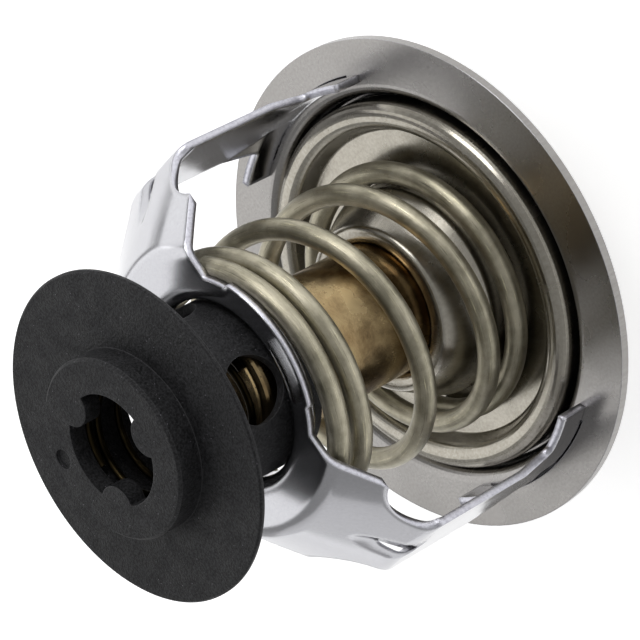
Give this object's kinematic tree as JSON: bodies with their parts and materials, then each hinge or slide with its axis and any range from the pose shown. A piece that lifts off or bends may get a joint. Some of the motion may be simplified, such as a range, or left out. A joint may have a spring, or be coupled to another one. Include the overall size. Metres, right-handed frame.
{
  "type": "engine thermostat",
  "caption": "Flanged wax-element coolant valve with a bell-shaped spring stirrup, heavy coil spring and black bypass disc on a windowed sleeve",
  "frame": {"origin": "centre of the flange, at its spring-side face", "axes": "+Z along the valve axis, from the bridge towards the bypass disc; the stirrup's arms stand at +Y and -Y"},
  "size_m": [0.067, 0.067, 0.071],
  "materials": {
    "stainless_sheet": "mill-finished pressed stainless, lightly streaked",
    "bright_sheet": "bright rolled stainless with soft mirror reflections",
    "valve_sheet": "pressed stainless, tumbled, slightly warm",
    "spring_wire": "drawn stainless spring wire with fine lengthwise lines",
    "brass": "drawn brass, dulled, with a few pits",
    "ground_steel": "ground and polished pin",
    "black_plastic": "glass-filled black plastic with a fine grain",
    "seal_rubber": "smooth black rubber",
    "white_washer": "hard white plastic",
    "wax": "dull, filled with metal powder"
  },
  "bodies": {
    "stand": {"flange": "stainless_sheet", "spring_frame": "bright_sheet", "piston": "ground_steel", "main_spring": "spring_wire"},
    "valve": {"valve_disc": "valve_sheet", "valve_seal": "seal_rubber", "element_cup": "brass", "piston_guide": "brass", "wiper_seal": "seal_rubber", "guide_washer": "white_washer", "rubber_boot": "seal_rubber", "wax_charge": "wax", "retaining_ring": "ground_steel", "bypass_spring": "ground_steel"},
    "bypass": {"bypass_valve": "black_plastic"}
  },
  "joints": [
    {"name": "valve_lift", "type": "slide", "parent": "stand", "child": "valve", "axis": [0, 0, 1], "range_m": [0, 0.008], "stiffness_N_per_m": 7000, "springref_m": -0.002, "deforming": ["main_spring"]},
    {"name": "bypass_slide", "type": "slide", "parent": "valve", "child": "bypass", "axis": [0, 0, -1], "range_m": [0, 0.005], "stiffness_N_per_m": 800, "springref_m": -0.002, "deforming": ["bypass_spring"]}
  ]
}
